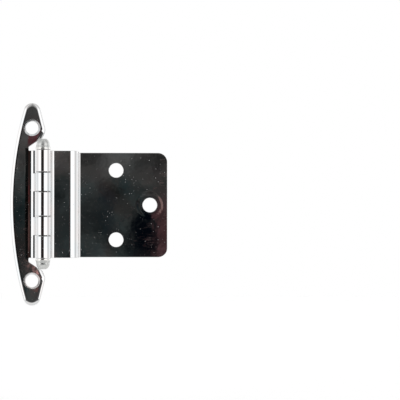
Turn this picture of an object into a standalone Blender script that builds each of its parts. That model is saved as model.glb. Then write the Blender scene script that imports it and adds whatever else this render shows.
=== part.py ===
"""Offset cabinet hinge for a lipped door, pressed from chromed steel sheet.

The hinge stands as it is installed, closed, with its pin upright along Z. The front faces -Y, and
the plane Y = 0 is the front of the face frame, on which the decorative leaf is screwed. The door
leaf reaches towards +X and steps back, behind the lip of the door. The origin is on the back of the
decorative leaf's rim, at the middle of its outer edge.

Every sub-part is drawn round the pin's axis: in its own coordinates x is to the right of the axis,
y is behind it and z is above the middle of the barrel. The empty pin_axis puts them in place.
"""
import math

import bmesh
import bpy

# Driving dimensions, in metres and degrees

SHEET = 0.0010              # thickness of the sheet of both leaves
AXIS_HEIGHT = 0.0075        # pin's axis in front of the face frame
BARREL_RADIUS = 0.0026      # outside of the rolled knuckles
END_KNUCKLE = 0.0077        # share of the barrel of each of the door leaf's two outer knuckles
MIDDLE_KNUCKLE = 0.0083     # and of its middle one
FRAME_KNUCKLE = 0.0072      # share of the barrel of each of the decorative leaf's two knuckles
KNUCKLE_GAP = 0.0003        # play between two knuckles
CURL_GAP = 0.0003           # rolled end of a knuckle to its own wall
PIN_PLAY = 0.00008          # play round the pin
FIT_GAP = 0.0003            # seat of one piece on another

LIP_WIDTH = 0.009525        # knuckle wall to step wall, outside to outside: the door's lip
OFFSET = 0.0166             # from the flat behind the lip back to the flat behind the door
DOOR_FLAT = 0.0322          # step wall to the free end
LIP_BEND = 0.0012           # inside radius between the knuckle wall and the lip's flat
STEP_BEND = 0.0021          # inside radius between the lip's flat and the step wall
DOOR_BEND = 0.0005          # inside radius between the step wall and the door's flat
DOOR_CORNER = 0.0034        # rounding of the free corners
DOOR_HOLE_RADIUS = 0.0026   # three plain screw holes
DOOR_HOLE_END = 0.0064      # single hole to the free end
DOOR_HOLE_PAIR = 0.0187     # pair of holes to the free end
DOOR_HOLE_SPREAD = 0.0253   # between the two holes of the pair

LEAF_LENGTH = 0.0718        # decorative leaf from point to point
LEAF_REACH = 0.01187        # pin's axis to the outer edge
LEAF_HEIGHT = 0.0019        # face of the leaf in front of the face frame
RIM_RADIUS = 0.0014         # outside radius of the turned-down rim
LEAF_FILLET = 0.0024        # radius of the root that rises from the face to the barrel
EAR_X = 0.00418             # pin's axis to the middle line of the ears
EAR_TIP_RADIUS = 0.0030     # round end of an ear
EAR_TAPER = 14.3            # lean of an ear's inner side
EAR_RISE = 0.00745          # widest place of an ear above the barrel's end
EAR_SHOULDER_RADIUS = 0.0034  # rounding at the widest place
EAR_SHOULDER_LEAN = 25.0    # lean of the side below the widest place, back towards the barrel
EAR_HOLE_RISE = 0.00065     # countersunk screw hole above the widest place
EAR_HOLE_RADIUS = 0.00225
COUNTERSINK_RADIUS = 0.0029  # countersink at the face
COUNTERSINK_SLOPE = 41.0    # half angle of the countersink
NOTCH_X = 0.0053            # pin's axis to the inner side of the relief notch
NOTCH_HEIGHT = 0.00136      # inner side of the notch, above the barrel's end
NOTCH_SLOPE = 34.0          # rise of the notch's edge along the ear
NOTCH_CORNER = 0.0007       # rounding of the notch's inner corner
SLOT_TURN = 35.0            # how far the root has turned up where it is cut for the door's knuckles

TIP_LENGTH = 0.00395        # cap on each end of the pin, to the top of its dome
TIP_GAP = 0.0002            # cap to the barrel
TIP_WAIST_RADIUS = 0.00234  # foot of the dome, at TIP_WAIST of the cap's length
TIP_FOOT = 0.11             # share of the cap's length that is straight
TIP_WAIST = 0.37
SPIGOT_RADIUS = 0.0007      # thin end of the pin inside the cap
SPIGOT_SINK = 0.0004        # end of the pin below the top of the dome
SPIGOT_CHAMFER = 0.0002

DOOR_SLOT_GAP = 0.0005      # wall of the door leaf clear of the other leaf's knuckles

ROUND_STEPS = 48            # sides of a full turn
BEND_STEPS = 8              # sides of a quarter turn in a bend
RIM_STEPS = 3
WELD = 0.000001
GRAIN = 7                   # decimals kept, so that faces meant to share a plane do

# Sizes that follow from them

BORE_RADIUS = BARREL_RADIUS - SHEET
PIN_RADIUS = BORE_RADIUS - PIN_PLAY
BARREL_LENGTH = 2 * END_KNUCKLE + MIDDLE_KNUCKLE + 2 * FRAME_KNUCKLE
HALF_BARREL = BARREL_LENGTH / 2
STEP_X = BARREL_RADIUS + LIP_WIDTH
END_X = STEP_X + DOOR_FLAT
LIP_FRONT = AXIS_HEIGHT - SHEET
DOOR_FRONT = LIP_FRONT + OFFSET
FACE_Y = AXIS_HEIGHT - LEAF_HEIGHT
ROOT_RADIUS = min(LEAF_FILLET, FACE_Y)
ROOT_X = -BARREL_RADIUS - ROOT_RADIUS
ROOT_Y = FACE_Y - ROOT_RADIUS
RIM_INSIDE = max(RIM_RADIUS - SHEET, WELD)
TIP_Z = LEAF_LENGTH / 2 - EAR_TIP_RADIUS
EAR_WIDE_Z = HALF_BARREL + EAR_RISE
EAR_HOLE_Z = EAR_WIDE_Z + EAR_HOLE_RISE
CURL_END = math.pi + math.acos((CURL_GAP - BORE_RADIUS) / BARREL_RADIUS)
PAST = 0.004                # how far a cutter runs past what it cuts


def arc(middle_x, middle_y, radius, start, end, steps):
    """Points on a circle about (middle_x, middle_y) from one angle to another, both in radians."""
    turns = [start + (end - start) * i / steps for i in range(steps + 1)]
    return [(middle_x + radius * math.cos(t), middle_y + radius * math.sin(t)) for t in turns]


def collection(name):
    """Make a collection in the scene."""
    made = bpy.data.collections.new(name)
    bpy.context.scene.collection.children.link(made)
    return made


def clear_scene():
    """Remove the objects that the file opened with."""
    for thing in list(bpy.data.objects):
        bpy.data.objects.remove(thing, do_unlink=True)


def metal(name, colour, roughness):
    """Return a plated metal of the given colour and roughness."""
    material = bpy.data.materials.new(name)
    material.use_nodes = True
    shader = material.node_tree.nodes["Principled BSDF"]
    shader.inputs["Base Color"].default_value = (*colour, 1.0)
    shader.inputs["Metallic"].default_value = 1.0
    shader.inputs["Roughness"].default_value = roughness
    return material


def outline_solid(name, points, half_depth, home, bevel=0.0, upright=False):
    """Extrude a closed flat outline both ways along Z, or along Y when upright, as a closed mesh.

    A bevel rounds the two faces' edges outwards from the outline.
    """
    data = bpy.data.curves.new(name, "CURVE")
    data.dimensions = "2D"
    data.fill_mode = "BOTH"
    data.extrude = half_depth
    data.bevel_depth = bevel
    data.bevel_resolution = RIM_STEPS if bevel else 0
    spline = data.splines.new("POLY")
    spline.points.add(len(points) - 1)
    for spot, (x, y) in zip(spline.points, points):
        spot.co = (x, y, 0.0, 1.0)
    spline.use_cyclic_u = True
    curve = bpy.data.objects.new(name, data)
    bpy.context.scene.collection.objects.link(curve)
    if upright:
        curve.rotation_euler = (math.pi / 2, 0.0, 0.0)
    bpy.context.view_layer.update()
    mesh = bpy.data.meshes.new_from_object(curve.evaluated_get(bpy.context.evaluated_depsgraph_get()))
    mesh.transform(curve.matrix_world)
    shape = bmesh.new()
    shape.from_mesh(mesh)
    bmesh.ops.remove_doubles(shape, verts=shape.verts, dist=WELD)
    for vertex in shape.verts:
        vertex.co = [round(value, GRAIN) for value in vertex.co]
    bmesh.ops.recalc_face_normals(shape, faces=shape.faces)
    shape.to_mesh(mesh)
    shape.free()
    bpy.data.objects.remove(curve, do_unlink=True)
    solid = bpy.data.objects.new(name, mesh)
    home.objects.link(solid)
    return solid


def shift(solid, x=0.0, y=0.0, z=0.0):
    """Move a solid's mesh, so that its origin stays on the pin's axis."""
    for vertex in solid.data.vertices:
        moved = (vertex.co.x + x, vertex.co.y + y, vertex.co.z + z)
        vertex.co = [round(value, GRAIN) for value in moved]
    return solid


def turned(name, profile, home, closed):
    """Turn a profile of (radius, height) pairs round the pin's axis with a Screw modifier."""
    mesh = bpy.data.meshes.new(name)
    edges = [(i, i + 1) for i in range(len(profile) - 1)]
    if closed:
        edges.append((len(profile) - 1, 0))
    mesh.from_pydata([(radius, 0.0, height) for radius, height in profile], edges, [])
    piece = bpy.data.objects.new(name, mesh)
    home.objects.link(piece)
    screw = piece.modifiers.new("turn", "SCREW")
    screw.axis = "Z"
    screw.steps = ROUND_STEPS
    screw.render_steps = ROUND_STEPS
    screw.use_merge_vertices = True
    screw.merge_threshold = WELD
    screw.use_smooth_shade = True
    return piece


def cutter_box(name, low, high, home):
    """Make a box between two corners, as a cutter."""
    bpy.ops.mesh.primitive_cube_add(size=1.0)
    box = bpy.context.object
    box.name = name
    for vertex in box.data.vertices:
        for axis in range(3):
            low_side = vertex.co[axis] < 0
            vertex.co[axis] = round(low[axis] if low_side else high[axis], GRAIN)
    move_to(box, home)
    return box


def cutter_cone(name, x, y, z, front_radius, back_radius, depth, home):
    """Make a round cutter along Y about (x, y, z), with a radius at its front and at its back."""
    bpy.ops.mesh.primitive_cone_add(vertices=ROUND_STEPS, radius1=back_radius, radius2=front_radius,
                                    depth=depth, location=(x, y, z), rotation=(math.pi / 2, 0.0, 0.0))
    cone = bpy.context.object
    cone.name = name
    move_to(cone, home)
    return cone


def move_to(thing, home):
    """Take an object out of its collections and put it in one."""
    for holder in list(thing.users_collection):
        holder.objects.unlink(thing)
    home.objects.link(thing)


def combine(solid, other, operation):
    """Cut another solid out of a solid, or join it on, with a Boolean modifier."""
    boolean = solid.modifiers.new(other.name, "BOOLEAN")
    boolean.operation = operation
    boolean.solver = "EXACT"
    boolean.object = other
    other.hide_render = True
    other.display_type = "WIRE"


def knuckle_heights(places):
    """Return (bottom, top) of the numbered knuckles, counted from the top, without the play."""
    shares = (END_KNUCKLE, FRAME_KNUCKLE, MIDDLE_KNUCKLE, FRAME_KNUCKLE, END_KNUCKLE)
    spans = []
    top = HALF_BARREL
    for place, share in enumerate(shares, start=1):
        if place in places:
            spans.append((top - share, top))
        top -= share
    return spans


def door_section():
    """Outline of the bent door leaf, seen from above: knuckle, wall, lip flat, step and door flat."""
    lip_outside = LIP_BEND + SHEET
    step_outside = STEP_BEND + SHEET
    door_outside = DOOR_BEND + SHEET
    lip_middle = (BARREL_RADIUS + LIP_BEND, LIP_FRONT - LIP_BEND)
    step_middle = (STEP_X - step_outside, LIP_FRONT + step_outside)
    door_middle = (STEP_X + DOOR_BEND, DOOR_FRONT - DOOR_BEND)
    curl_steps = round(ROUND_STEPS * CURL_END / (2 * math.pi))
    quarter = math.pi / 2
    front = arc(0.0, 0.0, BARREL_RADIUS, -CURL_END, 0.0, curl_steps)
    front += arc(*lip_middle, LIP_BEND, 2 * quarter, quarter, BEND_STEPS)
    front += arc(*step_middle, step_outside, -quarter, 0.0, BEND_STEPS)
    front += arc(*door_middle, DOOR_BEND, 2 * quarter, quarter, BEND_STEPS)
    front += [(END_X, DOOR_FRONT)]
    back = [(END_X, DOOR_FRONT + SHEET)]
    back += arc(*door_middle, door_outside, quarter, 2 * quarter, BEND_STEPS)
    back += arc(*step_middle, STEP_BEND, 0.0, -quarter, BEND_STEPS)
    back += arc(*lip_middle, lip_outside, quarter, 2 * quarter, BEND_STEPS)
    back += arc(0.0, 0.0, BORE_RADIUS, 0.0, -CURL_END, curl_steps)
    return front + back


def frame_section():
    """Outline of the decorative leaf's root, wall and knuckle, seen from above."""
    start_x = -NOTCH_X - SHEET / 2
    quarter = math.pi / 2
    curl_steps = round(ROUND_STEPS * CURL_END / (2 * math.pi))
    curl_stop = -math.pi + CURL_END
    front = [(start_x, FACE_Y)]
    front += arc(ROOT_X, ROOT_Y, ROOT_RADIUS, quarter, 0.0, 2 * BEND_STEPS)
    front += arc(0.0, 0.0, BARREL_RADIUS, -math.pi, curl_stop, curl_steps)
    back = arc(0.0, 0.0, BORE_RADIUS, curl_stop, -math.pi, curl_steps)
    back += arc(ROOT_X, ROOT_Y, ROOT_RADIUS + SHEET, 0.0, quarter, 2 * BEND_STEPS)
    back += [(start_x, FACE_Y + SHEET)]
    return front + back


def leaf_outline():
    """Edge of the flat face inside the rim, in x and z, as if the barrel's side had no notch.

    The outer edge is one long arc, tangent to the round ends of both ears.
    """
    inset = RIM_RADIUS
    across = LEAF_REACH - EAR_X
    long_radius = (TIP_Z ** 2 + across ** 2 - EAR_TIP_RADIUS ** 2) / (2 * (across - EAR_TIP_RADIUS))
    long_middle = long_radius - LEAF_REACH
    lean = math.radians(EAR_TAPER)
    back_lean = math.radians(EAR_SHOULDER_LEAN)
    meet = math.atan2(TIP_Z, -EAR_X - long_middle)
    tip = max(EAR_TIP_RADIUS - inset, WELD)
    shoulder = max(EAR_SHOULDER_RADIUS - inset, WELD)
    side_x = -EAR_X + tip * math.cos(lean)
    side_z = TIP_Z + tip * math.sin(lean)
    wide_x = side_x + (side_z - EAR_WIDE_Z) * math.tan(lean)
    shoulder_x = wide_x - shoulder / math.cos(lean)
    below = arc(shoulder_x, EAR_WIDE_Z, shoulder, lean, -back_lean, BEND_STEPS)
    foot_z = HALF_BARREL + EAR_RISE / 2 - inset
    foot_x = below[-1][0] - (below[-1][1] - foot_z) * math.tan(back_lean)
    upper = arc(-EAR_X, TIP_Z, tip, meet, lean, 2 * BEND_STEPS)
    upper += below
    upper.append((foot_x, foot_z))
    lower = [(x, -z) for x, z in reversed(upper)]
    outer = arc(long_middle, 0.0, long_radius - inset, 2 * math.pi - meet, meet, 3 * BEND_STEPS)
    return upper + lower + outer[1:-1]


def notch_outline():
    """Outline in x and z of what is cut between the ears: both notches and the root's place."""
    slope = math.radians(NOTCH_SLOPE)
    inner_z = HALF_BARREL + NOTCH_HEIGHT
    far_x = EAR_X
    middle_x = -NOTCH_X + NOTCH_CORNER
    middle_z = inner_z + NOTCH_CORNER * math.tan(slope) - NOTCH_CORNER / math.cos(slope)
    corner = arc(middle_x, middle_z, NOTCH_CORNER, math.pi, math.pi / 2 + slope, BEND_STEPS)
    upper = corner + [(far_x, inner_z + (far_x + NOTCH_X) * math.tan(slope))]
    lower = [(x, -z) for x, z in reversed(upper)]
    return upper + lower


def slot_outline():
    """Outline in x and y of the cut that frees the door's knuckles from the decorative leaf.

    Its slanted side is square to the sheet where the root has turned up by SLOT_TURN.
    """
    turn = math.radians(90.0 - SLOT_TURN)
    inside = ROOT_RADIUS - SHEET / 2
    outside = ROOT_RADIUS + 1.5 * SHEET
    near = (ROOT_X + inside * math.cos(turn), ROOT_Y + inside * math.sin(turn))
    far = (ROOT_X + outside * math.cos(turn), ROOT_Y + outside * math.sin(turn))
    right = BARREL_RADIUS + SHEET
    front = -BARREL_RADIUS - SHEET
    return [near, far, (right, far[1]), (right, front), (near[0], front)]


def corner_outline(side):
    """Outline in x and z of what a rounded free corner of the door leaf loses."""
    edge = side * HALF_BARREL
    middle = (END_X - DOOR_CORNER, edge - side * DOOR_CORNER)
    rounding = arc(*middle, DOOR_CORNER, side * math.pi / 2, 0.0, BEND_STEPS)
    return rounding + [(END_X + PAST, middle[1]), (END_X + PAST, edge + side * PAST),
                       (middle[0], edge + side * PAST)]


def make_door_leaf(parts, cutters, finish):
    """Bent strip with three knuckles, three plain screw holes and two round corners."""
    leaf = outline_solid("door_leaf", door_section(), HALF_BARREL, parts)
    leaf.data.materials.append(finish)
    slot_end = BARREL_RADIUS + DOOR_SLOT_GAP
    for number, (bottom, top) in enumerate(knuckle_heights((2, 4)), start=1):
        slot = cutter_box(f"door_slot_{number}", (-BARREL_RADIUS - SHEET, -BARREL_RADIUS - SHEET, bottom),
                          (BARREL_RADIUS + SHEET, slot_end, top), cutters)
        combine(leaf, slot, "DIFFERENCE")
    for name, side in (("upper_corner", 1), ("lower_corner", -1)):
        corner = outline_solid(name, corner_outline(side), SHEET, cutters, upright=True)
        shift(corner, y=DOOR_FRONT + SHEET / 2)
        combine(leaf, corner, "DIFFERENCE")
    pair_x = END_X - DOOR_HOLE_PAIR
    places = ((pair_x, DOOR_HOLE_SPREAD / 2), (END_X - DOOR_HOLE_END, 0.0), (pair_x, -DOOR_HOLE_SPREAD / 2))
    for number, (x, z) in enumerate(places, start=1):
        hole = cutter_cone(f"door_hole_{number}", x, DOOR_FRONT + SHEET / 2, z, DOOR_HOLE_RADIUS,
                           DOOR_HOLE_RADIUS, 3 * SHEET, cutters)
        combine(leaf, hole, "DIFFERENCE")
    return leaf


def make_frame_leaf(parts, cutters, finish):
    """Pressed leaf: hollow rimmed face with two ears, joined to the root and its two knuckles."""
    deep = LEAF_HEIGHT + RIM_RADIUS
    leaf = outline_solid("frame_leaf", leaf_outline(), deep, parts, RIM_RADIUS, upright=True)
    shift(leaf, y=FACE_Y + deep + RIM_RADIUS)
    leaf.data.materials.append(finish)
    hollow = outline_solid("leaf_hollow", leaf_outline(), deep, cutters, RIM_INSIDE, upright=True)
    shift(hollow, y=FACE_Y + SHEET + deep + RIM_INSIDE)
    combine(leaf, hollow, "DIFFERENCE")
    half_leaf = LEAF_LENGTH / 2 + PAST
    behind = cutter_box("leaf_back", (-LEAF_REACH - PAST, AXIS_HEIGHT, -half_leaf),
                        (LEAF_REACH, AXIS_HEIGHT + 3 * deep, half_leaf), cutters)
    combine(leaf, behind, "DIFFERENCE")
    notch = outline_solid("leaf_notches", notch_outline(), AXIS_HEIGHT, cutters, upright=True)
    shift(notch, y=FACE_Y)
    combine(leaf, notch, "DIFFERENCE")
    root = outline_solid("leaf_root", frame_section(), HALF_BARREL, cutters)
    combine(leaf, root, "UNION")
    for number, (bottom, top) in enumerate(knuckle_heights((1, 3, 5)), start=1):
        past_top = PAST if number == 1 else 0.0
        past_bottom = PAST if number == 3 else 0.0
        low = bottom - KNUCKLE_GAP - past_bottom
        high = top + KNUCKLE_GAP + past_top
        slot = outline_solid(f"leaf_slot_{number}", slot_outline(), (high - low) / 2, cutters)
        shift(slot, z=(low + high) / 2)
        combine(leaf, slot, "DIFFERENCE")
    sink = (COUNTERSINK_RADIUS - EAR_HOLE_RADIUS) / math.tan(math.radians(COUNTERSINK_SLOPE))
    for name, side in (("upper", 1), ("lower", -1)):
        hole = cutter_cone(f"{name}_ear_hole", -EAR_X, FACE_Y, side * EAR_HOLE_Z, EAR_HOLE_RADIUS,
                           EAR_HOLE_RADIUS, 4 * SHEET, cutters)
        combine(leaf, hole, "DIFFERENCE")
        wide = 2 * COUNTERSINK_RADIUS - EAR_HOLE_RADIUS
        countersink = cutter_cone(f"{name}_countersink", -EAR_X, FACE_Y, side * EAR_HOLE_Z, wide,
                                  EAR_HOLE_RADIUS, 2 * sink, cutters)
        combine(leaf, countersink, "DIFFERENCE")
    return leaf


def make_pin(parts, finish):
    """Rod through the barrel, with a thin end inside each cap."""
    end = HALF_BARREL + TIP_GAP + TIP_LENGTH - SPIGOT_SINK
    upper = [(0.0, end), (SPIGOT_RADIUS - SPIGOT_CHAMFER, end), (SPIGOT_RADIUS, end - SPIGOT_CHAMFER),
             (SPIGOT_RADIUS, HALF_BARREL), (PIN_RADIUS, HALF_BARREL)]
    lower = [(radius, -height) for radius, height in reversed(upper)]
    pin = turned("hinge_pin", upper + lower, parts, closed=False)
    pin.data.materials.append(finish)
    return pin


def make_tip(name, side, parts, finish):
    """Domed cap with a through bore, above the barrel for side 1 and below it for side -1."""
    base = HALF_BARREL + TIP_GAP
    bore = SPIGOT_RADIUS + FIT_GAP
    waist = TIP_LENGTH * TIP_WAIST
    dome = arc(0.0, 0.0, 1.0, math.acos(bore / TIP_WAIST_RADIUS), 0.0, BEND_STEPS)
    rings = [(x * TIP_WAIST_RADIUS, waist + z * (TIP_LENGTH - waist)) for x, z in dome]
    rings += [(BARREL_RADIUS, TIP_LENGTH * TIP_FOOT), (BARREL_RADIUS, 0.0), (bore, 0.0)]
    profile = [(radius, side * (base + height)) for radius, height in rings]
    if side < 0:
        profile.reverse()
    tip = turned(name, profile, parts, closed=True)
    tip.data.materials.append(finish)
    return tip


def build():
    """Make every sub-part round the pin's axis, then put the axis in its place."""
    clear_scene()
    parts = collection("offset_cabinet_hinge")
    cutters = collection("cutters")
    make_frame_leaf(parts, cutters, metal("leaf_chrome", (0.60, 0.61, 0.62), 0.06))
    make_door_leaf(parts, cutters, metal("door_chrome", (0.58, 0.59, 0.60), 0.07))
    make_pin(parts, metal("pin_steel", (0.50, 0.50, 0.49), 0.30))
    make_tip("upper_tip", 1, parts, metal("upper_tip_nickel", (0.56, 0.56, 0.54), 0.22))
    make_tip("lower_tip", -1, parts, metal("lower_tip_nickel", (0.56, 0.56, 0.54), 0.22))
    axis = bpy.data.objects.new("pin_axis", None)
    parts.objects.link(axis)
    axis.location = (LEAF_REACH - SHEET / 2, -AXIS_HEIGHT, 0.0)
    for thing in list(parts.objects) + list(cutters.objects):
        if thing is not axis:
            thing.parent = axis
    for piece in parts.objects:
        if piece.type == "MESH":
            piece.data.shade_smooth()
            piece.data.set_sharp_from_angle(angle=math.radians(30.0))


build()
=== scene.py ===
"""Offset cabinet hinge for a lipped door: two pressed chrome leaves on a capped steel pin.

The hinge is closed and upright, as it is screwed on a face frame, and is seen from the front.
Sizes are in millimetres round the pin's axis, x to the right, y to the back and z up, and each
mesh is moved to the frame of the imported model, in metres, when it is made.
"""

import bpy
import numpy as np
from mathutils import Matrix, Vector
from mathutils.geometry import delaunay_2d_cdt


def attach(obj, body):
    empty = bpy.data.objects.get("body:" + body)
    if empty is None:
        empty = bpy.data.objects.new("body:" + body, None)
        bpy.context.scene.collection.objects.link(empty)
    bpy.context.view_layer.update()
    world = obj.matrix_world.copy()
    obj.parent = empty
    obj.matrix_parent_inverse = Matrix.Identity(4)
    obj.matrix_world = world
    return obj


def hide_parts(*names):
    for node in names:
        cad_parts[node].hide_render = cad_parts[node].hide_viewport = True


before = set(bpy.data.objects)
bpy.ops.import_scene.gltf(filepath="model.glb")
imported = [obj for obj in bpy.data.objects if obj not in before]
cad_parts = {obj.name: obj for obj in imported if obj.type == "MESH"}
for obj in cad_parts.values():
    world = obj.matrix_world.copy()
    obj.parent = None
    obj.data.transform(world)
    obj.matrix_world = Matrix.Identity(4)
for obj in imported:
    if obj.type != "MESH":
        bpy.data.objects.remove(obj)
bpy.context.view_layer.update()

# The pale room: a floor under the hinge, and soft white screens all round. Polished metal shows
# what is in front of it, so the room is dark only straight ahead, where the camera stands.

FLOOR_Z = -0.075
FLOOR_X = (-0.60, 0.70)
FLOOR_Y = (-0.05, 1.20)
DEGREES = 57.2958           # in a radian


def node(tree, kind, *links, **settings):
    """Add a node, link the given outputs or set the given values in its inputs, in order."""
    made = tree.nodes.new(kind)
    for name, value in settings.items():
        setattr(made, name, value)
    for slot, source in enumerate(links):
        if source is None:
            continue
        if isinstance(source, bpy.types.NodeSocket):
            tree.links.new(source, made.inputs[slot])
        else:
            made.inputs[slot].default_value = source
    return made


def math_node(tree, operation, *links):
    """One Math node; returns its output."""
    return node(tree, "ShaderNodeMath", *links, operation=operation).outputs[0]


def product(tree, first, *others):
    """The first value times each of the others."""
    for other in others:
        first = math_node(tree, "MULTIPLY", first, other)
    return first


def ramp(tree, factor, low, high, stops):
    """Colour ramp over a factor from low to high, with (factor, grey or colour) stops."""
    share = node(tree, "ShaderNodeMapRange", factor, low, high, 0.0, 1.0).outputs[0]
    made = node(tree, "ShaderNodeValToRGB", share)
    scale = made.color_ramp
    for _ in range(len(stops) - 2):
        scale.elements.new(0.5)
    for stop, (place, colour) in zip(scale.elements, stops):
        stop.position = (place - low) / (high - low)
        stop.color = (*colour, 1.0) if isinstance(colour, tuple) else (colour, colour, colour, 1.0)
    return made.outputs[0]


def spread(tree, value, low, high):
    """Carry a value from low..high to 0..1, smoothly, and hold it there outside."""
    made = node(tree, "ShaderNodeMapRange", value, low, high, 0.0, 1.0,
                interpolation_type="SMOOTHSTEP")
    return made.outputs[0]


def blend(tree, share, first, second, kind="MIX"):
    """Mix two colours, or multiply them, by a share; returns the colour."""
    made = node(tree, "ShaderNodeMix", share, data_type="RGBA", blend_type=kind)
    for slot, source in ((6, first), (7, second)):
        if isinstance(source, bpy.types.NodeSocket):
            tree.links.new(source, made.inputs[slot])
        else:
            made.inputs[slot].default_value = (*source, 1.0)
    return made.outputs[2]


def noise(tree, place, scale, detail):
    """Soft noise of a given scale, in waves a metre."""
    return node(tree, "ShaderNodeTexNoise", place, None, scale, detail, 0.5).outputs["Fac"]


world = bpy.data.worlds.new("room")
bpy.context.scene.world = world
world.use_nodes = True
room = world.node_tree
room.nodes.clear()
toward = node(room, "ShaderNodeTexCoord").outputs["Generated"]
across, ahead, above = node(room, "ShaderNodeSeparateXYZ", toward).outputs

# Directions from the hinge, in degrees: side is 0 towards the camera and 90 at the picture's
# right, and rise is 0 at eye level.
side = product(room, math_node(room, "ARCTAN2", across, product(room, ahead, -1.0)), DEGREES)
rise = product(room, math_node(room, "ARCSINE", above), DEGREES)
aside = math_node(room, "ABSOLUTE", side)


def patch(sides=(), rises=()):
    """Share of a patch of the room: from 0 to 1 over each span of side and each span of rise."""
    return product(room, *[spread(room, side, *span) for span in sides],
                   *[spread(room, rise, *span) for span in rises])


def stripe(middle, outer, inner):
    """Share of an upright stripe: 0 beyond outer degrees from its middle, 1 within inner."""
    return spread(room, math_node(room, "ABSOLUTE", math_node(room, "SUBTRACT", side, middle)),
                  outer, inner)


# All round: bright screens at both front quarters, grey beyond, fading towards the ceiling.
screens = ramp(room, side, -180.0, 180.0, (
    (-180.0, 1.08), (-150.0, 1.15), (-124.0, 1.12), (-106.0, 0.90), (-84.0, 0.92), (-68.0, 1.28),
    (-34.0, 1.32), (14.0, 1.32), (60.0, 1.32), (72.0, 0.98), (94.0, 0.64), (110.0, 1.12),
    (140.0, 1.25), (180.0, 1.12)))
height = ramp(room, rise, -90.0, 90.0, (
    (-90.0, 1.10), (-45.0, 1.0), (14.0, 1.0), (34.0, 0.66), (60.0, 0.60), (90.0, 0.72)))
around = blend(room, 1.0, screens, height, "MULTIPLY")

# Straight ahead, from the ground to just above eye level, and higher in the very middle: dark.
tall = product(room, spread(room, aside, 15.0, 4.0), 0.86)
over = math_node(room, "MAXIMUM", math_node(room, "SUBTRACT", rise, 7.0), 0.0)
over = product(room, over, tall)
front = ramp(room, math_node(room, "SUBTRACT", rise, over), -90.0, 90.0, (
    (-90.0, 1.10), (-40.0, 1.0), (-28.0, 0.88), (-24.0, 0.46), (-20.0, 0.15), (-14.0, 0.085),
    (-3.0, 0.064), (-2.05, 0.052), (-1.85, 0.028), (-1.4, 0.031), (-0.5, 0.036), (0.1, 0.025),
    (0.9, 0.026), (1.5, 0.032), (1.9, 0.042), (2.4, 0.078), (2.9, 0.046), (3.2, 0.050),
    (3.6, 0.074), (4.4, 0.076), (7.0, 0.10), (14.0, 0.40), (30.0, 0.46), (60.0, 0.56),
    (90.0, 0.80)))

# Near eye level the dark is uneven, with soft tints: weaker higher up, and teal low at the left.
shade = ramp(room, noise(room, toward, 62.0, 4.0), 0.0, 1.0, (
    (0.34, 0.34), (0.44, 0.80), (0.52, 1.0), (0.66, 1.65)))
hues = ramp(room, noise(room, toward, 44.0, 2.0), 0.0, 1.0, (
    (0.34, (0.62, 0.98, 1.04)), (0.46, (0.92, 1.02, 1.0)), (0.56, (1.03, 1.0, 0.97)),
    (0.68, (1.22, 0.88, 0.90))))
hues = blend(room, product(room, patch(rises=[(1.4, 2.2)]), 0.75), hues, (1.02, 1.0, 0.98))
teal = patch([(-0.25, -0.6), (-2.2, -1.8)], [(2.0, 1.2)])
hues = blend(room, product(room, teal, 0.7), hues, (0.78, 1.02, 1.05))
# A dark red stripe at the left, and a paler red at the right.
red = product(room, stripe(-2.46, 0.20, 0.05), patch(rises=[(0.4, 1.0), (3.6, 3.1)]))
hues = blend(room, red, hues, (1.40, 0.42, 0.50))
red = patch([(1.12, 1.42), (3.4, 2.2)], [(1.5, 0.4)])
hues = blend(room, red, hues, (2.3, 1.15, 1.25))
# From side to side: much darker beyond 3.3 degrees at the left, and lighter beyond 3 at the right.
deep = ramp(room, side, -30.0, 30.0, (
    (-28.0, 0.22), (-6.0, 0.10), (-3.55, 0.14), (-3.3, 1.0), (3.0, 1.0), (8.0, 1.6), (14.0, 1.6)))
dark = blend(room, 1.0, blend(room, 1.0, front, hues, "MULTIPLY"), shade, "MULTIPLY")
dark = blend(room, 1.0, dark, deep, "MULTIPLY")
# Two small patches of rose, low at the left.
for low, high, reach, tint in ((-1.16, -0.99, (-2.64, -2.48), (0.64, 0.34, 0.32)),
                               (-1.92, -1.74, (-2.68, -2.52), (0.125, 0.072, 0.066))):
    rose = patch([reach, (-1.9, -2.2)], [(low - 0.06, low), (high + 0.07, high)])
    dark = blend(room, rose, dark, tint)
# A stripe of brown further left.
brown = ramp(room, rise, -10.0, 10.0, (
    (-0.9, (0.004, 0.002, 0.001)), (-0.5, (0.14, 0.075, 0.068)), (0.3, (0.13, 0.072, 0.064)),
    (0.7, (0.062, 0.036, 0.030)), (1.3, (0.100, 0.030, 0.030)), (1.7, (0.040, 0.024, 0.022)),
    (3.0, (0.024, 0.012, 0.010))))
dark = blend(room, stripe(-6.45, 0.95, 0.30), dark, brown)
# Above and below the hinge's middle the dark goes on to the right, and is black there.
ends = math_node(room, "MAXIMUM", product(room, patch(rises=[(-0.95, -1.3)]), 0.3),
                 patch(rises=[(2.7, 3.0)]))
black = product(room, spread(room, ends, 0.0, 0.3), patch([(1.8, 2.6)]), 0.85)
dark = blend(room, black, dark, (0.0, 0.0, 0.004))
# A paler place at the right, which only the ring round the door leaf's middle hole shows.
halo = patch([(2.0, 2.35), (3.6, 3.1)], [(-0.9, -0.2), (3.3, 2.5)])
dark = blend(room, halo, dark, (0.21, 0.135, 0.128))
plain = math_node(room, "MAXIMUM", patch(rises=[(5.0, 8.0)]), patch(rises=[(-3.0, -6.0)]))
front = blend(room, plain, dark, front)
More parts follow.
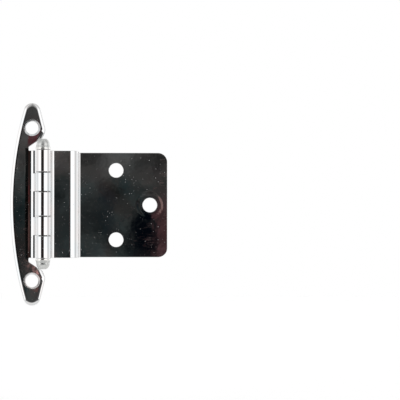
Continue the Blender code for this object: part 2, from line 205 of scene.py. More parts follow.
# Two darker ovals: a nearly black one a little right of the middle, and a fainter one at its
# left. An oval is where (a*side + b)^2 + (c*rise + d)^2 is small.
for across_it, up_it, reach, strength, tint in (
        ((1.5, -1.28), (0.75, 0.19), (0.95, 0.22), 1.0, (0.0008, 0.0020, 0.004)),
        ((1.7, 0.65), (0.75, -0.38), (0.55, 0.08), 0.65, (0.006, 0.014, 0.018))):
    wide = math_node(room, "MULTIPLY_ADD", side, *across_it)
    high = math_node(room, "MULTIPLY_ADD", rise, *up_it)
    oval = math_node(room, "MULTIPLY_ADD", wide, wide, product(room, high, high))
    front = blend(room, product(room, spread(room, oval, *reach), strength), front, tint)

# The dark gap between the screens is narrow at eye level, and wider below it.
below = math_node(room, "MAXIMUM", math_node(room, "SUBTRACT", -2.5, rise), 0.0)
left = math_node(room, "MULTIPLY_ADD", below, 1.2, side)
right = math_node(room, "MULTIPLY_ADD", below, -2.6, side)
right = math_node(room, "MULTIPLY_ADD", ends, -10.0, right)
gap = product(room, spread(room, left, -32.0, -28.0), spread(room, right, 17.5, 13.0))
# Straight behind, where only the hinge's back looks, a grey wall shades off upwards.
wall = ramp(room, rise, -90.0, 90.0, (
    (-90.0, 1.0), (-44.0, 0.85), (-12.0, 0.30), (3.0, 0.16), (16.0, 0.48), (40.0, 0.70),
    (90.0, 0.72)))
around = blend(room, spread(room, aside, 164.0, 171.0), around, wall)
lit = blend(room, gap, around, front)
# The camera itself sees a white backdrop.
path = node(room, "ShaderNodeLightPath").outputs
backdrop = blend(room, path["Is Camera Ray"], lit, (1.0, 1.0, 1.0))
light = node(room, "ShaderNodeBackground", backdrop, 1.0)
node(room, "ShaderNodeOutputWorld", light.outputs[0])

# The floor: white to the camera and a little brighter in the metal, clear from below, and it
# keeps the hinge's shadow.
floor_mesh = bpy.data.meshes.new("floor")
floor_mesh.from_pydata([(x, y, FLOOR_Z) for x, y in (
    (FLOOR_X[0], FLOOR_Y[0]), (FLOOR_X[1], FLOOR_Y[0]),
    (FLOOR_X[1], FLOOR_Y[1]), (FLOOR_X[0], FLOOR_Y[1]))], [], [(0, 1, 2, 3)])
floor = bpy.data.objects.new("floor", floor_mesh)
bpy.context.scene.collection.objects.link(floor)
pale = bpy.data.materials.new("pale_floor")
pale.use_nodes = True
tree = pale.node_tree
tree.nodes.clear()
paint = node(tree, "ShaderNodeBsdfDiffuse", (0.90, 0.90, 0.90, 1.0))
path = node(tree, "ShaderNodeLightPath").outputs
seen = math_node(tree, "MAXIMUM", product(tree, path["Is Camera Ray"], 0.35),
                 product(tree, path["Is Glossy Ray"], 0.20))
glow = node(tree, "ShaderNodeEmission", (1.0, 1.0, 1.0, 1.0), seen)
lifted = node(tree, "ShaderNodeAddShader", paint.outputs[0], glow.outputs[0])
under = node(tree, "ShaderNodeMixShader", node(tree, "ShaderNodeNewGeometry").outputs["Backfacing"],
             lifted.outputs[0], node(tree, "ShaderNodeBsdfTransparent").outputs[0])
node(tree, "ShaderNodeOutputMaterial", under.outputs[0])
floor_mesh.materials.append(pale)

bpy.context.scene.view_settings.view_transform = "Standard"

# The camera: about 650 mm off, a little low and left of the picture's middle, looking almost
# straight at the door.

VIEW_FROM = Vector((0.03716, -0.6510, -0.0101))
VIEW_TO = Vector((0.06685, -0.0010, 0.00157))
VIEW_LENS = 164.4

lens = bpy.data.cameras.new("viewer")
lens.lens = VIEW_LENS
lens.sensor_width = 36.0
camera = bpy.data.objects.new("viewer", lens)
camera.location = VIEW_FROM
camera.rotation_euler = (VIEW_TO - VIEW_FROM).to_track_quat("-Z", "Y").to_euler()
bpy.context.scene.collection.objects.link(camera)
bpy.context.scene.camera = camera

# Decorative leaf: one steel stamping with two pointed ears, a turned-down rim and a countersunk
# hole in each ear. Its root is bent up to the barrel and rolled into the second and fourth
# knuckles, and it is polished and chromed.

MM = 0.001
AXIS_X, AXIS_Y = 11.37, -7.5            # the pin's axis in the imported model's frame
SHEET = 1.0
EDGE = 0.12                             # rounding of a cut edge
BARREL, HALF_BARREL = 2.6, 19.05        # the rolled knuckles' radius, half the barrel's length
END_KNUCKLE, FRAME_KNUCKLE = 7.7, 7.2   # lengths of the first knuckle and of the second
KNUCKLE_GAP = 0.3
CURL = 300.0                            # degrees that a knuckle is rolled round the pin
CURL_SPARE = 3.0                        # degrees of it for the rounded edge at the roll's end
FACE_Y, FRAME_Y = 5.6, 7.5              # the flat face and the rim's back, behind the axis
RIM = 1.4                               # width of the turned-down rim
RIM_BREAK, RIM_TIGHT = 38.0, 0.5        # turn of its wide bend, radius of its tight one
ROOT = 2.4                              # bend between the flat face and the barrel
ROOT_X = -BARREL - ROOT
SLOT_TURN = 35.0                        # degrees of that bend before the slots begin
ROOT_LEAN, LEAN_RUN, LEAN_PAST = 0.037, 1.8, 0.6
REACH = 11.87                           # the leaf's outer side, left of the axis
EAR_X, TIP_Z, TIP_R = -4.18, 32.9, 3.0  # middle and radius of an ear's tip
EAR_TAPER, EAR_LEAN = 14.3, 25.0        # slopes of its right side, above and below the shoulder
EAR_WIDE_Z, SHOULDER_R = 26.5, 3.4
HOLE_Z, HOLE_R, SINK_R = 27.15, 2.25, 2.9
SINK_DEPTH = 0.75
NOTCH_X, NOTCH_Z, NOTCH_SLOPE, NOTCH_R = -5.3, 20.41, 34.0, 0.7
CORNER_SPARE = 0.02                     # the notch's inner corner ends this far before the root
CURL_ROWS, WALL_ROWS, ROOT_ROWS = 96, 4, 12
STRIP_STEP, FACE_STEP = 0.7, 0.8
HOLE_SIDES = 72

# The plating: scales in waves or cells a metre, bump heights in metres.
CHROME = (0.80, 0.80, 0.80)
TINT_WAVES, HAZE_WAVES = 140.0, 90.0
PEEL_WAVES, RIPPLE_WAVES, PEEL_HEIGHT = 60.0, 420.0, 0.0000028
HAIR_STRETCH, HAIR_WIDTH = (90.0, 600.0, 2600.0), (0.012, 0.003)
DUST_CELLS, DUST_PATCHES, DUST_SIZE = 1250.0, 120.0, (0.24, 0.04)
POLISH = 0.022              # roughness, and what haze, scratches and dust add to it
HAZE_ROUGH, HAIR_ROUGH, DUST_ROUGH = 0.030, 0.16, 0.50
# The frame leaf's slot walls are near-black teal: painted shadow of the narrow gaps beside the
# barrel.
SLOT_SHADOW = ((0.030, 0.042, 0.048), (0.085, 0.085, 0.080))
BAND_STRETCH, BAND_HEIGHT = (300.0, 300.0, 2400.0), 0.00002
NO_TURN = (0.0, 0.0, 0.0)


def carry(start, heading, steps):
    """Rows along a bent strip, from (length, turn in degrees, count) steps.

    Each step is cut in count equal chords; a chord that turns by d has length s*sin(d/2)/(d/2) and
    points along the mean heading. Returns the rows' points and their unit normals, on the right.
    """
    lengths = np.concatenate([np.full(n, s / n) for s, turn, n in steps])
    turns = np.concatenate([np.full(n, np.radians(turn) / n) for s, turn, n in steps])
    ends = np.radians(heading) + np.cumsum(turns)
    middles = ends - turns / 2
    chords = lengths * np.sinc(turns / 2 / np.pi)
    moves = chords[:, None] * np.stack([np.cos(middles), np.sin(middles)], 1)
    points = np.vstack([np.zeros(2), np.cumsum(moves, 0)]) + np.asarray(start, float)
    angles = np.concatenate([[np.radians(heading)], ends])
    return points, np.stack([np.sin(angles), -np.cos(angles)], 1)


def levels(stops, step):
    """Heights through all the stops, with the spans between them cut in equal parts below step."""
    stops = np.asarray(stops, float)
    parts = np.maximum(np.ceil(np.diff(stops) / step).astype(int), 1)
    spans = [np.linspace(a, b, n, endpoint=False) for a, b, n in zip(stops[:-1], stops[1:], parts)]
    return np.concatenate(spans + [stops[-1:]])


def grid_faces(rows, columns):
    """Quads of a grid of rows x columns points, numbered row by row."""
    first = np.arange((rows - 1) * columns).reshape(rows - 1, columns)[:, :-1].ravel()
    return np.stack([first, first + 1, first + columns + 1, first + columns], 1)


def halves(quads):
    """Two triangles for each quad."""
    return np.vstack([quads[:, [0, 1, 2]], quads[:, [0, 2, 3]]])


def ring(x, z, radius, count):
    """Points on a circle in the face's plane."""
    turn = np.arange(count) * 2 * np.pi / count
    return np.stack([x + radius * np.cos(turn), z + radius * np.sin(turn)], 1)


def arc(x, z, radius, start, end, count):
    """Points and unit normals along a circle's arc, angles in degrees."""
    turn = np.radians(np.linspace(start, end, count + 1))
    normal = np.stack([np.cos(turn), np.sin(turn)], 1)
    return np.array([x, z]) + radius * normal, normal


def inside(points, loop):
    """Which points lie in a closed loop: an upward ray crosses its sides an odd number of times."""
    a, b = loop, np.roll(loop, -1, 0)
    x, z = points[:, None, 0], points[:, None, 1]
    spans = (a[None, :, 0] > x) != (b[None, :, 0] > x)
    slope = (b[:, 1] - a[:, 1]) / np.where(b[:, 0] == a[:, 0], 1e-12, b[:, 0] - a[:, 0])
    height = a[None, :, 1] + (x - a[None, :, 0]) * slope[None, :]
    return (np.sum(spans & (height > z), 1) % 2) == 1


def fill(outline, holes, step):
    """Triangulate a flat outline with holes: its own points, and a lattice of a step inside it.

    No lattice point is nearer than 0.55 of a step to the outline's points. Returns the (x, z)
    points and the triangles whose middles are in the outline and in no hole.
    """
    low, high = outline.min(0), outline.max(0)
    lattice = np.stack(np.meshgrid(np.arange(low[0] + step / 2, high[0], step),
                                   np.arange(low[1] + step / 2, high[1], step)), -1).reshape(-1, 2)
    loops = [outline] + holes
    rim = np.vstack(loops)
    near = np.min(np.sum((lattice[:, None] - rim[None]) ** 2, 2), 1) < (0.55 * step) ** 2
    keep = inside(lattice, outline) & ~near
    for hole in holes:
        keep &= ~inside(lattice, hole)
    points = np.vstack([rim, lattice[keep]])
    counts = np.cumsum([0] + [len(loop) for loop in loops])
    edges = np.vstack([np.stack([np.arange(a, b), np.roll(np.arange(a, b), -1)], 1)
                       for a, b in zip(counts[:-1], counts[1:])])
    made = delaunay_2d_cdt([Vector(p) for p in points], edges.tolist(), [], 0, 1e-6)
    points = np.array([tuple(p) for p in made[0]])
    corners = np.array([face for face in made[2] if len(face) == 3])
    middles = points[corners].mean(1)
    keep = inside(middles, outline)
    for hole in holes:
        keep &= ~inside(middles, hole)
    return points, corners[keep]


def plain_edge(radius, thickness):
    """(outward, depth, turn) along a cut edge with rounded corners, from the front to the back."""
    turn = np.radians(np.linspace(0.0, 90.0, 5))
    front = np.stack([radius * np.sin(turn), radius * (1 - np.cos(turn)), turn], 1)
    back = np.stack([radius * np.cos(turn), thickness - radius * (1 - np.sin(turn)),
                     turn + np.pi / 2], 1)
    return np.vstack([front, back])


def sunk_edge(radius, thickness, wide, deep):
    """The same for a countersunk hole: a cone down to a depth, then the bore and the flat back."""
    slope = np.arctan2(wide, deep)
    turn = np.linspace(0.0, np.pi / 2 - slope, 4)
    top = np.stack([radius * np.sin(turn), radius * (1 - np.cos(turn)), turn], 1)
    foot = np.array([[radius + wide, deep, turn[-1]], [radius + wide, deep + 0.04, np.pi / 2],
                     [radius + wide, thickness - radius, np.pi / 2],
                     [radius + wide - 0.3 * radius, thickness - 0.3 * radius, 0.75 * np.pi],
                     [radius + wide - radius, thickness, np.pi], [0.0, thickness, np.pi]])
    return np.vstack([top, foot])


def pressed(name, front, back, normals, faces, edge, special=None, dark_walls=None):
    """Closed sheet-metal mesh from its front and back skins, which share their faces.

    Points at one place are merged, and faces that run against their normals are turned round.
    Along each free edge the wall is swept from front to back: a point is the front point, plus the
    unit vector out of the edge times the profile's outward shift, plus its depth's share of the way
    to the back. The shading normal turns with the profile. special is (mask, profile) for others,
    and the last argument, a mask, says which wall faces, by their middles, take the second
    material:
    on the frame leaf that is painted shadow on the slot walls.
    """
    _, first, same = np.unique(np.round(front, 4), axis=0, return_index=True,
                               return_inverse=True)
    front, back, normals = front[first], back[first], normals[first]
    faces = same.ravel()[faces]
    faces = faces[np.all(faces != np.roll(faces, -1, 1), 1)]
    a, b, c = (front[faces[:, k]] for k in range(3))
    wrong = np.sum(np.cross(b - a, c - a) * normals[faces].sum(1), 1) < 0
    faces[wrong] = faces[wrong][:, ::-1]
    sides = np.vstack([faces[:, [0, 1]], faces[:, [1, 2]], faces[:, [2, 0]]])
    count = len(front)
    code = sides[:, 0] * count + sides[:, 1]
    free = sides[~np.isin(code, sides[:, 1] * count + sides[:, 0])]
    rim = np.unique(free)
    place = np.full(count, -1)
    place[rim] = np.arange(len(rim))
    through = front - back
    through /= np.linalg.norm(through, axis=1, keepdims=True)
    run = front[free[:, 1]] - front[free[:, 0]]
    run /= np.linalg.norm(run, axis=1, keepdims=True)
    out = np.zeros((len(rim), 3))
    for end in (0, 1):
        step = np.cross(run, through[free[:, end]])
        step /= np.linalg.norm(step, axis=1, keepdims=True)
        np.add.at(out, place[free[:, end]], step)
    size = np.linalg.norm(out, axis=1, keepdims=True)
    mitre = out * (2.0 / np.maximum(size, 1.0) ** 2)
    out = out / size
    thick = np.linalg.norm(front - back, axis=1)[rim][:, None]
    profiles = np.repeat(edge[None], len(rim), 0)
    if special is not None:
        chosen = special[0](front[rim])
        profiles[chosen] = special[1]
    shift, depth, turn = (profiles[:, 1:-1, k][..., None] for k in range(3))
    down = depth * thick[:, None] / SHEET
    wall = front[rim][:, None] + mitre[:, None] * shift - through[rim][:, None] * down
    tilt = normals[rim][:, None] * np.cos(turn) + out[:, None] * np.sin(turn)
    inner = wall.shape[1]
    walls = 2 * count + np.arange(len(rim) * inner).reshape(len(rim), inner)
    columns = np.hstack([rim[:, None], walls, rim[:, None] + count])
    a, b = columns[place[free[:, 0]]], columns[place[free[:, 1]]]
    quads = np.stack([b[:, :-1], a[:, :-1], a[:, 1:], b[:, 1:]], -1).reshape(-1, 4)
    points = np.vstack([front, back, wall.reshape(-1, 3)])
    shading = np.vstack([normals, -normals, tilt.reshape(-1, 3)])
    triangles = np.vstack([faces, faces[:, ::-1] + count])
    made = finished(name, points, shading, triangles.tolist() + quads.tolist())
    if dark_walls is not None:
        second = np.concatenate([np.zeros(len(triangles), int),
                                 dark_walls(points[quads].mean(1)).astype(int)])
        made.data.polygons.foreach_set("material_index", second)
    return made


def finished(name, points, shading, faces):
    """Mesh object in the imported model's frame, shaded smooth with the given normals."""
    mesh = bpy.data.meshes.new(name)
    mesh.from_pydata(((points + [AXIS_X, AXIS_Y, 0.0]) * MM).tolist(), [], faces)
    mesh.shade_smooth()
    shading = shading / np.linalg.norm(shading, axis=1, keepdims=True)
    mesh.normals_split_custom_set_from_vertices(shading.tolist())
    made = bpy.data.objects.new(name, mesh)
    bpy.context.scene.collection.objects.link(made)
    return made


def swept(rows, row_normals, heights):
    """A bent strip: each row of its section at each height, as grids of points and normals.

    Returns them with the strip's quads, each quad's row, and how far it is from the middle height.
    """
    def grid(section, last):
        return np.stack([np.repeat(section[:, None, 0], len(heights), 1),
                         np.repeat(section[:, None, 1], len(heights), 1),
                         np.repeat(last[None], len(rows), 0)], -1)

    points, normals = grid(rows, heights), grid(row_normals, np.zeros(len(heights)))
    quads = grid_faces(len(rows), len(heights))
    from_middle = np.abs(points.reshape(-1, 3)[quads].mean(1)[:, 2])
    return points, normals, quads, quads[:, 0] // len(heights), from_middle


# Edge of the flat face, inside the rim, from the middle of the outer side up to the notch.
ear_in = REACH + EAR_X
long_r = (TIP_Z ** 2 + ear_in ** 2 - TIP_R ** 2) / (2 * (ear_in - TIP_R))
long_x = long_r - REACH
meet = 180.0 - np.degrees(np.arctan2(TIP_Z, long_x - EAR_X))
outer_edge, outer_normal = arc(long_x, 0.0, long_r - RIM, 180.0, meet, 60)
tip_edge, tip_normal = arc(EAR_X, TIP_Z, TIP_R - RIM, meet, EAR_TAPER, 24)
taper = np.radians(EAR_TAPER)
side_x, side_z = tip_edge[-1]
shoulder_r = SHOULDER_R - RIM
shoulder_x = side_x + (side_z - EAR_WIDE_Z) * np.tan(taper) - shoulder_r / np.cos(taper)
shoulder_edge, shoulder_normal = arc(shoulder_x, EAR_WIDE_Z, shoulder_r, EAR_TAPER, -EAR_LEAN, 12)
side_run = np.linspace(0.0, 1.0, 16)[1:-1, None]
side_edge = tip_edge[-1] + side_run * (shoulder_edge[0] - tip_edge[-1])
half_edge = np.vstack([outer_edge, tip_edge[1:], side_edge, shoulder_edge])
half_normal = np.vstack([outer_normal, tip_normal[1:],
                         np.repeat(tip_normal[-1:], len(side_edge), 0), shoulder_normal])
slope = np.radians(NOTCH_SLOPE)
notch_normal = np.array([np.sin(slope), -np.cos(slope)])
notch_point = np.array([NOTCH_X, NOTCH_Z]) - notch_normal * EDGE
last_normal = half_normal[-1]
lean_run = np.array([last_normal[1], -last_normal[0]])
lean_share = np.linspace(0.0, 1.0, 7)[1:, None, None]


def rim_rows(offsets):
    """Rows of the flat's edge moved out by each offset; the last side runs on to the notch's line.

    With the side p + t*d and the notch's line (q - n).m = 0, t is (n - p).m / d.m.
    """
    rows = half_edge[None] + half_normal[None] * offsets[:, None, None]
    last = rows[:, -1]
    reach = ((notch_point - last) @ notch_normal) / (lean_run @ notch_normal)
    ends = last[None] + lean_share * reach[None, :, None] * lean_run
    return np.concatenate([rows, ends.transpose(1, 0, 2)], 1)


rim_break = np.radians(RIM_BREAK)
rim_turn = np.radians(np.concatenate([np.linspace(0.0, RIM_BREAK, 13),
                                      np.linspace(RIM_BREAK, 90.0, 14)[1:], [90.0]]))


def rim_skin(wide_r, tight_r, depth):
    """The rim at a depth in the sheet: a wide bend, a tight one to 90 degrees, then straight back.

    A bend of radius r from turn a to turn b goes r*(sin b - sin a) out and r*(cos a - cos b) back.
    """
    first, second = np.minimum(rim_turn, rim_break), np.maximum(rim_turn, rim_break)
    plan = rim_rows(wide_r * np.sin(first) + tight_r * (np.sin(second) - np.sin(rim_break)))
    y = (FACE_Y + depth + wide_r * (1 - np.cos(first))
         + tight_r * (np.cos(rim_break) - np.cos(second)))
    y[-1] = FRAME_Y - EDGE
    plan = np.concatenate([plan[:, ::-1] * [1.0, -1.0], plan[:, 1:]], 1)
    heights = np.repeat(y[:, None], plan.shape[1], 1)
    return np.stack([plan[..., 0], heights, plan[..., 1]], -1)


rim_wide = (RIM - RIM_TIGHT * (1 - np.sin(rim_break))) / np.sin(rim_break)
rim_front = rim_skin(rim_wide, RIM_TIGHT, 0.0)
rim_back = rim_skin(RIM - SHEET, RIM - SHEET, SHEET)
row_normal = np.vstack([half_normal, np.repeat(last_normal[None], len(lean_share), 0)])
row_normal = np.vstack([row_normal[::-1] * [1.0, -1.0], row_normal[1:]])
rim_normals = np.stack([row_normal[None, :, 0] * np.sin(rim_turn)[:, None],
                        -np.cos(rim_turn)[:, None] * np.ones(len(row_normal))[None],
                        row_normal[None, :, 1] * np.sin(rim_turn)[:, None]], -1)
rim_quads = grid_faces(*rim_front.shape[:2])

# Heights of the root's strip: each knuckle's ends and slots are among them.
barrel_end = HALF_BARREL - EDGE
upper_high = HALF_BARREL - END_KNUCKLE - KNUCKLE_GAP - EDGE
upper_low = HALF_BARREL - END_KNUCKLE - FRAME_KNUCKLE + KNUCKLE_GAP + EDGE
strip_z = levels((-barrel_end, -upper_high, -upper_low, upper_low, upper_high, barrel_end),
                 STRIP_STEP)
root_arc = ROOT * np.pi / 2
slot_arc = ROOT * np.radians(SLOT_TURN) - EDGE
slot_turn = np.degrees(slot_arc / ROOT)
rows, row_normals = carry((ROOT_X, FACE_Y), 0.0, (
    (slot_arc, -slot_turn, ROOT_ROWS), (root_arc - slot_arc, -90.0 + slot_turn, 18),
    (FACE_Y - ROOT, 0.0, WALL_ROWS),
    (BARREL * np.radians(CURL) - EDGE, CURL - CURL_SPARE, CURL_ROWS)))
strip_front, strip_normals, strip_quads, quad_row, quad_z = swept(rows, row_normals, strip_z)
strip_quads = strip_quads[(quad_row < ROOT_ROWS) | ((quad_z > upper_low) & (quad_z < upper_high))]

# The flat face: its edge, both notches and the root's first row, with the two holes.
corner_x = NOTCH_X - EDGE + NOTCH_R
corner_z = (notch_point[1] + (corner_x - notch_point[0]) * np.tan(slope)
            - NOTCH_R / np.cos(slope))
notch_corner, _ = arc(corner_x, corner_z, NOTCH_R, 90.0 + NOTCH_SLOPE, 180.0, 8)
flat_top = rim_rows(np.zeros(1))[0]
notch_run = np.linspace(0.0, 1.0, 9)[1:-1, None]
diagonal = flat_top[-1] + notch_run * (notch_corner[0] - flat_top[-1])
inner_r = ROOT_X - NOTCH_X + EDGE - CORNER_SPARE
inner_corner, _ = arc(NOTCH_X - EDGE + inner_r, barrel_end + inner_r, inner_r, 180.0, 270.0, 6)
root_row = np.stack([np.full(len(strip_z), ROOT_X), strip_z], 1)[::-1]
upper = np.vstack([flat_top[1:], diagonal, notch_corner, inner_corner])
flat_edge = np.vstack([flat_top[:1], upper, root_row, (upper * [1.0, -1.0])[::-1]])
ear_holes = [ring(EAR_X, z, SINK_R + EDGE / 2, HOLE_SIDES) for z in (HOLE_Z, -HOLE_Z)]
plan, flat_faces = fill(flat_edge, ear_holes, FACE_STEP)
flat_front = np.stack([plan[:, 0], np.full(len(plan), FACE_Y), plan[:, 1]], 1)
# Next to the root the face already starts to turn: there the normals lean to the left.
beside_root = np.abs(plan[:, 1]) < HALF_BARREL + LEAN_PAST
start = np.clip((plan[:, 0] - ROOT_X + LEAN_RUN) / LEAN_RUN, 0.0, 1.0) * beside_root
lean = -ROOT_LEAN * start ** 2 * (3 - 2 * start)
flat_normals = np.stack([lean, -np.ones(len(plan)), np.zeros(len(plan))], 1)
strip_normals[0, :, 0] = -ROOT_LEAN

front = np.vstack([flat_front, rim_front.reshape(-1, 3), strip_front.reshape(-1, 3)])
back = np.vstack([flat_front + [0.0, SHEET, 0.0], rim_back.reshape(-1, 3),
                  (strip_front - strip_normals * SHEET).reshape(-1, 3)])
normals = np.vstack([flat_normals, rim_normals.reshape(-1, 3), strip_normals.reshape(-1, 3)])
rim_start = len(flat_front)
strip_start = rim_start + rim_front.shape[0] * rim_front.shape[1]
faces = np.vstack([flat_faces, halves(rim_quads) + rim_start, halves(strip_quads) + strip_start])


def round_ear_hole(points):
    """Which edge points lie on the circles of the ears' holes."""
    away = np.hypot(points[:, 0] - EAR_X, np.abs(points[:, 2]) - HOLE_Z)
    return away < SINK_R + EDGE


def slot_shadow_walls(middles):
    """Which wall faces lie where the root is cut off square, or on the knuckles' inner ends.

    The root's cut is right of its bend's first 0.9 mm and over 2 mm behind the pin's axis. These
    walls take a near-black colour: painted shadow of the gaps by the barrel.
    """
    barrel = middles[:, 0] > -BARREL - 0.05
    root = (middles[:, 0] > ROOT_X + 0.9) & (middles[:, 0] < -BARREL - 0.05) & (middles[:, 1] > 2.0)
    return (root | barrel) & (np.abs(middles[:, 2]) < HALF_BARREL - KNUCKLE_GAP)


def knuckle_end(middles):
    """Which wall faces are within the barrel's radius, on its ends and between the knuckles."""
    return np.hypot(middles[:, 0], middles[:, 1]) < BARREL - 0.03


def metal_material(name):
    """A new material; returns it, its tree, its shader and the piece's Object coordinates."""
    made = bpy.data.materials.new(name)
    made.use_nodes = True
    tree = made.node_tree
    place = node(tree, "ShaderNodeTexCoord").outputs["Object"]
    return made, tree, tree.nodes["Principled BSDF"], place


def stretched(tree, place, turn, scale):
    """Coordinates turned, and then scaled along each axis."""
    return node(tree, "ShaderNodeMapping", place, (0.0, 0.0, 0.0), turn, scale).outputs[0]


def coat(tree, metal, colour, rough, relief, height):
    """Link a colour and a roughness to the shader, and a bump of a height given in metres."""
    bump = node(tree, "ShaderNodeBump")
    bump.inputs["Strength"].default_value = 1.0
    bump.inputs["Distance"].default_value = height
    tree.links.new(relief, bump.inputs["Height"])
    tree.links.new(colour, metal.inputs["Base Color"])
    tree.links.new(rough, metal.inputs["Roughness"])
    tree.links.new(bump.outputs[0], metal.inputs["Normal"])


def plated(name, tint, offset):
    """Mirror chrome over polished steel, on Object coordinates moved by the leaf's own offset.

    Tint and haze follow soft noise, and orange peel is a low bump of two noises. Hair scratches
    from handling are where a stretched noise crosses its middle. Dust is the small discs round the
    points of a few cells of a cell pattern.
    """
    made, tree, metal, place = metal_material(name)
    place = node(tree, "ShaderNodeMapping", place, (offset, 0.0, offset)).outputs[0]
    colour = ramp(tree, noise(tree, place, TINT_WAVES, 3.0), 0.0, 1.0, (
        (0.35, (tint[0] * 0.955, tint[1] * 0.985, tint[2])), (0.5, tint),
        (0.65, (tint[0] * 1.01, tint[1] * 0.975, tint[2] * 0.965))))
    haze = spread(tree, noise(tree, place, HAZE_WAVES, 4.0), 0.45, 0.75)
    hairs = []
    for turn, strength in (((0.0, 0.35, 0.0), 0.8), ((0.0, -0.9, 0.0), 0.5)):
        wave = noise(tree, stretched(tree, place, turn, HAIR_STRETCH), 1.0, 1.0)
        from_middle = math_node(tree, "ABSOLUTE", math_node(tree, "SUBTRACT", wave, 0.5))
        some = spread(tree, noise(tree, place, 210.0 + 60.0 * strength, 1.0), 0.56, 0.66)
        hairs.append(product(tree, spread(tree, from_middle, *HAIR_WIDTH), some, strength))
    hair = math_node(tree, "MAXIMUM", *hairs)
    cell = node(tree, "ShaderNodeTexVoronoi", place, None, DUST_CELLS)
    chance = node(tree, "ShaderNodeSeparateColor", cell.outputs["Color"]).outputs[0]
    patchy = spread(tree, noise(tree, place, DUST_PATCHES, 1.0), 0.42, 0.64)
    dust = product(tree, spread(tree, cell.outputs["Distance"], *DUST_SIZE),
                   spread(tree, chance, 0.50, 1.05),
                   math_node(tree, "MULTIPLY_ADD", patchy, 0.80, 0.20))
    rough = math_node(tree, "MULTIPLY_ADD", haze, HAZE_ROUGH, POLISH)
    rough = math_node(tree, "MULTIPLY_ADD", hair, HAIR_ROUGH, rough)
    rough = math_node(tree, "MULTIPLY_ADD", dust, DUST_ROUGH, rough)
    tree.links.new(math_node(tree, "MULTIPLY_ADD", dust, -0.9, 1.0), metal.inputs["Metallic"])
    peel = math_node(tree, "MULTIPLY_ADD", noise(tree, place, PEEL_WAVES, 1.0), 10.0,
                     noise(tree, place, RIPPLE_WAVES, 1.0))
    relief = math_node(tree, "MULTIPLY_ADD", hair, -0.25, peel)
    coat(tree, metal, colour, rough, relief, PEEL_HEIGHT)
    return made


def dull_steel_and_painted_shadow(name, deepest, palest):
    """Dark metal between two colours, in fine bands across the pin: the pin's plain steel, the door
    leaf's knuckle ends, and painted shadow on the frame leaf's slot walls.
    """
    made, tree, metal, place = metal_material(name)
    metal.inputs["Metallic"].default_value = 1.0
    bands = noise(tree, stretched(tree, place, NO_TURN, BAND_STRETCH), 1.0, 3.0)
    colour = ramp(tree, bands, 0.0, 1.0, ((0.35, deepest), (0.65, palest)))
    rough = math_node(tree, "MULTIPLY_ADD", bands, 0.2, 0.38)
    coat(tree, metal, colour, rough, bands, BAND_HEIGHT)
    return made


leaf = pressed("frame_leaf_plated", front, back, normals, faces, plain_edge(EDGE, SHEET),
               (round_ear_hole, sunk_edge(EDGE / 2, SHEET, SINK_R - HOLE_R, SINK_DEPTH)), slot_shadow_walls)
leaf.data.materials.append(plated("leaf_chrome", CHROME, 0.31))
# The second material is painted shadow: near-black teal on the slot walls beside the barrel.
leaf.data.materials.append(dull_steel_and_painted_shadow("leaf_slot_painted_shadow", *SLOT_SHADOW))
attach(leaf, "frame_side")
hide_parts("frame_leaf")

# Door leaf: a strip of the same chromed steel, rolled into three knuckles, taken down behind the
# door's lip, stepped back along the rabbet and laid behind the door, with three plain holes and
# two rounded corners.

LIP_FRONT, DOOR_FRONT = 6.5, 23.1       # the short and the long flat, behind the axis
STEP_X, END_X = 12.125, 44.325          # the step and the free end, right of the axis
LIP_BEND, STEP_BEND, DOOR_BEND = 1.2, 3.1, 0.5
DOOR_CORNER = 3.4
DOOR_HOLE = 2.6
DOOR_HOLES = ((25.625, 12.65), (37.925, 0.0), (25.625, -12.65))
DOOR_SLOT_Y = 3.1                       # foot of the slots between the knuckles
PROUD_R, PROUD_WIDE, PROUD_LEAN = 4.4, 0.6, 0.012
DOOR_STEP, OUTLINE_STEP = 0.7, 0.9
DOOR_CUT = ((0.14, 0.15, 0.15), (0.26, 0.25, 0.24))

knuckle_low = HALF_BARREL - END_KNUCKLE + EDGE
knuckle_mid = HALF_BARREL - END_KNUCKLE - FRAME_KNUCKLE - EDGE
door_z = levels((-barrel_end, -knuckle_low, -knuckle_mid, knuckle_mid, knuckle_low, barrel_end),
                STRIP_STEP)
curl = CURL - CURL_SPARE
curl_from = np.radians(-curl)
curl_start = (BARREL * np.cos(curl_from), BARREL * np.sin(curl_from))
slot_run = DOOR_SLOT_Y + EDGE
rows, row_normals = carry(curl_start, 90.0 - curl, (
    (BARREL * np.radians(curl), curl, CURL_ROWS), (slot_run, 0.0, WALL_ROWS),
    (LIP_FRONT - LIP_BEND - slot_run, 0.0, 4), (LIP_BEND * np.pi / 2, -90.0, 16),
    (STEP_X - STEP_BEND - BARREL - LIP_BEND, 0.0, 8), (STEP_BEND * np.pi / 2, 90.0, 28),
    (DOOR_FRONT - DOOR_BEND - LIP_FRONT - STEP_BEND, 0.0, 14), (DOOR_BEND * np.pi / 2, -90.0, 16)))
strip_front, strip_normals, strip_quads, quad_row, quad_z = swept(rows, row_normals, door_z)
strip_quads = strip_quads[(quad_row >= CURL_ROWS + WALL_ROWS) | (quad_z < knuckle_mid)
                          | (quad_z > knuckle_low)]

